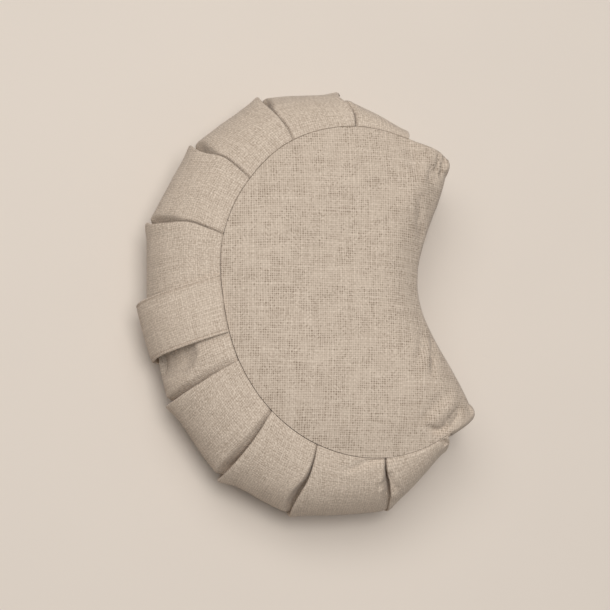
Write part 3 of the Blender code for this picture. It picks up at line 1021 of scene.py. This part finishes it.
def body_rings(outline):
    """Rings of the filled body, and how many come before the side's own."""
    deck = []
    for share in DECK_SHARES:
        points, _, facing = outline.over(outline.seam_run + outline.length * share)
        deck.extend(points - facing * DECK_DROP)
    for distance in DECK_DISTANCES:
        points, _, facing = outline.over(distance)
        deck.extend(points - facing * DECK_DROP)
    turns = outline.side_turns()
    side = outline.side(turns)
    facing, _ = outline.facing(turns)
    depth = pressed(BAND_CREASES, side[..., :2]) * eased((pi / 2 - turns) / 0.3)
    depth += hollow(side[..., :2]) * (turns < pi / 2)
    depth += undulation(side) * np.sin(turns) + outline.bay * (FRONT_CLOTH + CLEARANCE)
    side = side - facing * depth[..., None]
    side[..., 2] = np.maximum(side[..., 2], LOWEST_SIDE)
    base_roll = outline.edge(at_base=True)[::-1]
    inner = outline.plan - outline.out * INWARD_BEND
    base = [with_height(inner, BASE_SEAM_HEIGHT + DECK_DROP)]
    for share in BODY_BASE_SHARES:
        base.append(with_height(to_middle(outline, share), BODY_BASE_HEIGHT))
    rings = np.array([np.reshape(ring, (outline.count, 3)) for ring in deck + outline.edge()])
    rings = np.concatenate((rings, side, np.array(base_roll), np.array(base)))
    return rings, len(deck) + len(SEAM_ROLL)


def hollow(plan):
    away = np.linalg.norm(plan - np.array(HOLLOW_MIDDLE), axis=-1) / HOLLOW_RADIUS
    return HOLLOW_DEPTH * np.clip(1 - away**3, 0.0, 1.0) ** 1.2


def band_map(outline, rings, first_side):
    """Flat places on the side's cloth: across each panel, and down from the top seam."""
    closed = np.concatenate((rings, rings[:, :1]), axis=1)
    across, down = run_along(closed, 1), run_along(closed, 0)
    down = down - down[first_side]
    panel = np.append(outline.panel, -1)
    hidden = np.append(outline.hidden, True)
    u, v = across.copy(), down.copy()
    for number in np.unique(panel):
        mine = np.flatnonzero(panel == number)
        shown = mine[~hidden[mine]]
        middle = shown[len(shown) // 2]
        # The threads run straight from the panel's middle line, and each panel is its own cut.
        u[:, mine] = across[:, mine] - across[:, middle][:, None] + 0.517 * number
        v[:, mine] = down[:, middle][:, None] + 0.231 * number
    return np.stack((u, v), axis=-1)


def make_cover(outline, look):
    rings, first_side = body_rings(outline)
    top = (*MIDDLE, CROWN_HEIGHT - DECK_DROP)
    mesh, ring, line = ball("pleated_cover", rings, top, (*MIDDLE, BODY_BASE_HEIGHT))
    closed_map(mesh, band_map(outline, rings, first_side), ring, line)
    outward_faces(mesh)
    # The band's threads are painted 3% paler than the panels': painted light, for the brighter light
    # that the band's face catches.
    return piece_of(mesh, linen("band_linen", look, openness=0.35, grain=3.2, tone=1.03))


def turned_threads(flat):
    """Turns a panel's flat cloth so that its threads run as they do on the real one."""
    c, s = np.cos(THREAD_TURN), np.sin(THREAD_TURN)
    x, y = flat[..., 0], flat[..., 1]
    return np.stack((x * c - y * s, x * s + y * c), axis=-1)


def make_top(outline, look):
    """The top panel: a sheet from the middle, over the crown, to its rolled edge and back."""
    rings, flats = [], []

    def add(distance, depth, creased=True):
        points, flat, facing = outline.over(distance)
        if creased:
            waves = undulation(with_height(flat, PANEL_SAMPLE_HEIGHT)) * PANEL_UNDULATION
            depth = depth + pressed(PANEL_CREASES, flat) + waves
        rings.extend(points - facing * np.asarray(depth)[..., None])
        flats.extend(flat)

    full = outline.seam_run + outline.length * INNERMOST
    near = np.array(NEAR_SEAM)[::-1, None] + np.zeros(outline.count)
    share = np.linspace(1, 0, INNER_RINGS, endpoint=False)[:, None]
    add(near[0] + (full - near[0]) * share, 0.0)
    add(near, 0.0)
    for away, drop in reversed(SEAM_ROLL):
        add(np.full((1, outline.count), away), drop)
    for share in TOP_UNDERSIDE:
        add((full * share)[None, :], PANEL_CLOTH)
    height = top_height(MIDDLE)
    ends = (*MIDDLE, height), (*MIDDLE, height - PANEL_CLOTH)
    mesh, ring, line = ball("crescent_top", np.array(rings), *ends)
    flats = turned_threads(np.array(flats))
    flats = np.concatenate((flats, flats[:, :1]), axis=1)
    closed_map(mesh, flats, ring, line, turned_threads(MIDDLE))
    outward_faces(mesh)
    return piece_of(mesh, linen("top_linen", look, grain=1.3))


def make_base(outline, look):
    """The base panel: flat on the floor, with a rim that rises to its seam."""
    rings = []
    inner = np.linspace(INNERMOST, 0.10, BASE_INNER_RINGS)
    shares = np.concatenate((inner, BASE_RIM_SHARES))
    for share in shares:
        plan = to_middle(outline, share)
        rings.append(with_height(plan, base_height(plan)))
    for away, drop in reversed(SEAM_ROLL):
        plan = outline.plan - outline.out * away
        rings.append(with_height(plan, BASE_SEAM_HEIGHT + drop))
    for share in BASE_UNDERSIDE:
        plan = to_middle(outline, share)
        rings.append(with_height(plan, base_height(plan) + PANEL_CLOTH))
    mesh, ring, line = ball("crescent_base", np.array(rings), (*MIDDLE, 0.0), (*MIDDLE, PANEL_CLOTH))
    flat = turned_threads(np.array(rings)[..., :2])
    flat = np.concatenate((flat, flat[:, :1]), axis=1)
    closed_map(mesh, flat, ring, line, turned_threads(MIDDLE))
    outward_faces(mesh)
    return piece_of(mesh, linen("base_linen", look, grain=1.3))


def make_front_band(outline, look):
    """The plain strip across the bay, let in between the tips."""
    lines = np.flatnonzero(outline.bay)
    lines = np.concatenate(([lines[0] - 1], lines, [lines[-1] + 1]))
    turns = outline.side_turns()
    points, (facing, _) = outline.side(turns), outline.facing(turns)
    drop = np.zeros(len(turns))
    drop[[0, -1]] = FRONT_EDGE_DROP
    points = (points - facing * drop[:, None, None])[:, lines]
    shape = bmesh.new()
    columns, rows = len(lines) - 1, len(turns) - 1
    bmesh.ops.create_grid(shape, x_segments=columns, y_segments=rows, size=0.5)
    mesh = bpy.data.meshes.new("front_strip")
    places = [
        (round((vert.co.y + 0.5) * rows), round((vert.co.x + 0.5) * columns)) for vert in shape.verts
    ]
    for vert, place in zip(shape.verts, places):
        vert.co = points[place]
    shape.to_mesh(mesh)
    shape.free()
    across, down = run_along(points, 1), run_along(points, 0)
    corners_at, _ = corner_table(mesh)
    flat = np.array([(across[place], down[place]) for place in places])
    set_cloth_map(mesh, flat[corners_at])
    outward_faces(mesh)
    piece = piece_of(mesh, linen("front_linen", look, openness=0.35, grain=3.2))
    middle = mesh.polygons[len(mesh.polygons) // 2]
    if middle.normal.y > 0:
        mesh.flip_normals()
    wall = piece.modifiers.new("thickness", "SOLIDIFY")
    wall.thickness = FRONT_CLOTH
    wall.offset = -1.0
    return piece


def strap_sizes(across, turn):
    """The strap's inner face at places across it and turns along it."""
    swell = np.maximum(np.sin(turn), 0.0)
    stand_off = STRAP_STAND_OFF + HAND_GAP * swell**HAND_GAP_POWER
    gone = np.minimum(turn / (pi / 2), 1.0)
    gone = np.where(turn < pi / 2, mix(swell, gone, 0.5), 1.0)
    middle = mix(STRAP_AT_SEAM, STRAP_AT_BELLY, gone)
    x = middle + across

    def seam_y(x):
        radius = seam_radius(np.stack((x, 0 * x + STRAP_PLEAT.seam_radius), axis=-1))
        return np.sqrt(radius**2 - x**2)

    height = top_height(np.array((STRAP_AT_SEAM, seam_y(np.array(STRAP_AT_SEAM)))))
    reach = np.where(turn < pi / 2, height - BELLY_HEIGHT, BELLY_HEIGHT - BASE_SEAM_HEIGHT)
    seam = mix(seam_y(x), seam_y(middle) + STRAP_TILT * across, swell**2)
    y = seam + (STRAP_BELLY + stand_off) * swell
    z = BELLY_HEIGHT + (reach + stand_off) * np.cos(turn)
    return np.stack((x, y, z), axis=-1)


def strap_section():
    """The strap's cut end: places across it, and how far off its inner face."""
    half = STRAP_WIDTH / 2
    edge = half - STRAP_EDGE * (1 - np.cos(np.linspace(0, pi / 2, 6)))
    stitched = half - 2 * TOPSTITCH_INSET
    near, inner = np.linspace(edge[-1], stitched, 12)[1:], np.linspace(stitched, 0, 10)[1:]
    across = np.concatenate((edge, near, inner))
    across = np.concatenate((across, -across[-2::-1]))
    past = np.maximum(np.abs(across) - (half - STRAP_EDGE), 0.0) / STRAP_EDGE
    rise = STRAP_THICKNESS / 2 * np.sqrt(1 - np.minimum(past, 1.0) ** 2)
    groove = np.exp(-(((np.abs(across) - (half - TOPSTITCH_INSET)) / GROOVE_WIDTH) ** 2))
    crown = STRAP_CROWN * (1 - (across / half) ** 2)
    outer = STRAP_THICKNESS / 2 + rise - GROOVE_DEPTH * groove + crown
    under = STRAP_THICKNESS / 2 - rise
    return (
        np.concatenate((across, across[-2:0:-1])),
        np.concatenate((outer, under[-2:0:-1])),
    )


def strap_facing(across, turn):
    step = 0.004
    ahead = strap_sizes(across, np.minimum(turn + step, pi))
    behind = strap_sizes(across, np.maximum(turn - step, 0.0))
    run = ahead - behind
    return unit(np.stack((np.zeros_like(run[..., 0]), -run[..., 2], run[..., 1]), axis=-1)), unit(run)


def strap_face(across, rise, turn):
    """Points that far off the strap's inner face, sunk into the seams at both ends."""
    points = strap_sizes(across, turn)
    facing, _ = strap_facing(across, turn)
    arc = np.minimum(turn, pi - turn) * (STRAP_BELLY + STRAP_PLEAT.belly) / 2
    sink = STRAP_SINK * np.exp(-arc / STRAP_SINK_REACH)
    ripple = STRAP_RIPPLE * np.sin(turn * 9 + across * 60) * np.sin(turn)
    return points + facing * (rise - sink + ripple)[..., None]


def make_strap(look):
    across, rise = strap_section()
    place = np.linspace(0, 1, STRAP_RINGS)
    turn = (place - STRAP_BUNCHING * np.sin(tau * place) / tau) * pi
    rings = strap_face(across[None, :], rise[None, :], turn[:, None] + 0 * across)
    caps = rings[0].mean(axis=0), rings[-1].mean(axis=0)
    mesh, ring, line = ball("linen_strap", rings, *caps)
    down = run_along(rings, 0)
    flat = np.stack((across[None, :] + 0 * down, down[:, :1] + 0 * down), axis=-1)
    closed_map(mesh, np.concatenate((flat, flat[:, :1]), axis=1), ring, line)
    outward_faces(mesh)
    return piece_of(mesh, linen("strap_linen", look, openness=0.2, grain=2.6, tone=1.04))


def make_topstitch(look):
    """The row of stitches along each edge of the strap."""
    shape = bmesh.new()
    middle = strap_sizes(np.zeros(200), np.linspace(0, pi, 200))
    count = int(run_along(middle, 0)[-1] / TOPSTITCH_PITCH)
    for side in (-1, 1):
        across = np.full(count, side * (STRAP_WIDTH / 2 - TOPSTITCH_INSET))
        turn = np.linspace(TOPSTITCH_MARGIN, 1 - TOPSTITCH_MARGIN, count) * pi
        rise = np.full(count, STRAP_THICKNESS - TOPSTITCH_SUNK)
        places = strap_face(across, rise, turn)
        facing, run = strap_facing(across, turn)
        for place, up, ahead in zip(places, facing, run):
            up, ahead = Vector(up), Vector(ahead)
            sideways = ahead.cross(up)
            spin = Matrix((sideways, ahead, up)).transposed().to_4x4()
            size = Matrix.Diagonal((TOPSTITCH_RADIUS, TOPSTITCH_LENGTH / 2, TOPSTITCH_RADIUS, 1.0))
            bmesh.ops.create_icosphere(
                shape, subdivisions=2, radius=1.0, matrix=Matrix.Translation(place) @ spin @ size
            )
    mesh = bpy.data.meshes.new("strap_topstitch")
    shape.to_mesh(mesh)
    shape.free()
    return piece_of(mesh, thread("topstitch_thread", look))


def thread(name, look):
    """Sewing thread: pale, with a fine twist."""
    material = bpy.data.materials.new(name)
    material.use_nodes = True
    kit = Kit(material.node_tree)
    shader = material.node_tree.nodes["Principled BSDF"]
    place = kit.node("ShaderNodeTexCoord").outputs["Object"]
    twist = kit.node("ShaderNodeTexNoise")
    kit.feed(twist.inputs["Vector"], place)
    twist.inputs["Scale"].default_value = 900.0
    pale, dark = (*look.pale_thread, 1), (*look.thread, 1)
    kit.feed(shader.inputs["Base Color"], kit.blend(twist.outputs["Fac"], dark, pale))
    shader.inputs["Roughness"].default_value = 0.7
    return material


def aim(thing, place, target, up=None):
    """Puts a camera or light at a place, looking at a target, with up at the picture's top."""
    back = (Vector(place) - Vector(target)).normalized()
    up = Vector(up) if up else Vector((0.0, 1.0, 0.0))
    right = up.cross(back).normalized()
    top = back.cross(right)
    turned = Matrix((right, top, back)).transposed().to_4x4()
    thing.matrix_world = Matrix.Translation(place) @ turned


def plain_floor(look):
    mesh = bpy.data.meshes.new("floor")
    shape = bmesh.new()
    bmesh.ops.create_grid(shape, x_segments=2, y_segments=2, size=FLOOR_REACH)
    shape.to_mesh(mesh)
    shape.free()
    material = bpy.data.materials.new("pale_floor")
    material.use_nodes = True
    kit = Kit(material.node_tree)
    shader = material.node_tree.nodes["Principled BSDF"]
    place = kit.node("ShaderNodeTexCoord").outputs["Object"]
    cloud = kit.node("ShaderNodeTexNoise")
    kit.feed(cloud.inputs["Vector"], place)
    cloud.inputs["Scale"].default_value = 5.0
    share = kit.range(cloud.outputs["Fac"], 0.3, 0.7, 0.0, 0.06)
    tint = kit.blend(share, (*look.floor, 1), FLOOR_SHADE)
    kit.feed(shader.inputs["Base Color"], tint)
    shader.inputs["Roughness"].default_value = 0.95
    shader.inputs["Specular IOR Level"].default_value = 0.1
    piece = bpy.data.objects.new("floor", mesh)
    mesh.materials.append(material)
    bpy.context.scene.collection.objects.link(piece)
    return piece


def soft_light(name, power, size, direction):
    """A large round light, far off in one direction."""
    light = bpy.data.lights.new(name, "AREA")
    light.shape = "DISK"
    light.size = size
    light.energy = power
    lamp = bpy.data.objects.new(name, light)
    bpy.context.scene.collection.objects.link(lamp)
    aim(lamp, Vector(direction).normalized() * LIGHT_DISTANCE, LIGHT_TARGET)


class ZAFU_OT_stage(bpy.types.Operator):
    """Make the floor, the soft lights and the camera"""

    bl_idname = "zafu.stage"
    bl_label = "Stage"

    def execute(self, context):
        look = context.scene.zafu_studio
        plain_floor(look)
        scene = context.scene
        scene.view_settings.view_transform = "Standard"
        world = scene.world or bpy.data.worlds.new("studio")
        scene.world = world
        world.use_nodes = True
        sky = world.node_tree.nodes["Background"]
        sky.inputs["Color"].default_value = (1.0, 1.0, 1.0, 1.0)
        sky.inputs["Strength"].default_value = look.fill
        soft_light("top_light", look.top_power, look.soft_size, TOP_LIGHT_DIRECTION)
        soft_light("corner_light", look.corner_power, look.soft_size, CORNER_LIGHT_DIRECTION)
        soft_light("overhead", look.overhead_power, look.overhead_size, (0.0, 0.0, 1.0))
        data = bpy.data.cameras.new("camera")
        data.lens = LENS
        data.sensor_width = SENSOR_WIDTH
        camera = bpy.data.objects.new("camera", data)
        scene.collection.objects.link(camera)
        target = Vector(CAMERA_TARGET)
        place = target + Vector(CAMERA_DIRECTION).normalized() * CAMERA_DISTANCE
        aim(camera, place, target, PICTURE_UP)
        scene.camera = camera
        return {"FINISHED"}


class ZAFU_OT_pleated_cover(bpy.types.Operator):
    """Make the filled body with its pleated side"""

    bl_idname = "zafu.pleated_cover"
    bl_label = "Pleated cover"

    def execute(self, context):
        piece = make_cover(Outline(), context.scene.zafu_linen)
        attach(piece, BODY)
        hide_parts("pleated_body")
        return {"FINISHED"}


class ZAFU_OT_panels(bpy.types.Operator):
    """Make the top and base panels"""

    bl_idname = "zafu.panels"
    bl_label = "Panels"

    def execute(self, context):
        look = context.scene.zafu_linen
        outline = Outline()
        pieces = (
            (make_top(outline, look), "top_panel", 0.0665),
            (make_base(outline, look), "base_panel", 0.0615),
        )
        for piece, node, area in pieces:
            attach(piece, BODY)
            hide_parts(node)
        return {"FINISHED"}


class ZAFU_OT_front_band(bpy.types.Operator):
    """Make the plain strip across the bay"""

    bl_idname = "zafu.front_band"
    bl_label = "Front band"

    def execute(self, context):
        piece = make_front_band(Outline(), context.scene.zafu_linen)
        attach(piece, BODY)
        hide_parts("front_band")
        return {"FINISHED"}


class ZAFU_OT_strap(bpy.types.Operator):
    """Make the carry strap and its topstitching"""

    bl_idname = "zafu.strap"
    bl_label = "Carry strap"

    def execute(self, context):
        look = context.scene.zafu_linen
        strap = make_strap(look)
        stitches = make_topstitch(look)
        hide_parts("carry_strap")
        for piece in (strap, stitches):
            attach(piece, BODY)
        return {"FINISHED"}


class ZAFU_PT_sidebar(bpy.types.Panel):
    """Lists the cushion's pieces"""

    bl_label = "Crescent Zafu"
    bl_idname = "ZAFU_PT_sidebar"
    bl_space_type = "VIEW_3D"
    bl_region_type = "UI"
    bl_category = "Zafu"

    def draw(self, context):
        for made in OPERATORS:
            self.layout.operator(made.bl_idname)


OPERATORS = (
    ZAFU_OT_stage, ZAFU_OT_pleated_cover, ZAFU_OT_panels, ZAFU_OT_front_band, ZAFU_OT_strap,
)
CLASSES = (LinenLook, StudioLook, *OPERATORS, ZAFU_PT_sidebar)


def register():
    for made in CLASSES:
        bpy.utils.register_class(made)
    bpy.types.Scene.zafu_linen = PointerProperty(type=LinenLook)
    bpy.types.Scene.zafu_studio = PointerProperty(type=StudioLook)


def unregister():
    del bpy.types.Scene.zafu_linen, bpy.types.Scene.zafu_studio
    for made in reversed(CLASSES):
        bpy.utils.unregister_class(made)


def main():
    register()
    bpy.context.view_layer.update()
    bpy.ops.zafu.stage()
    bpy.ops.zafu.pleated_cover()
    bpy.ops.zafu.panels()
    bpy.ops.zafu.front_band()
    bpy.ops.zafu.strap()


if __name__ == "__main__":
    main()
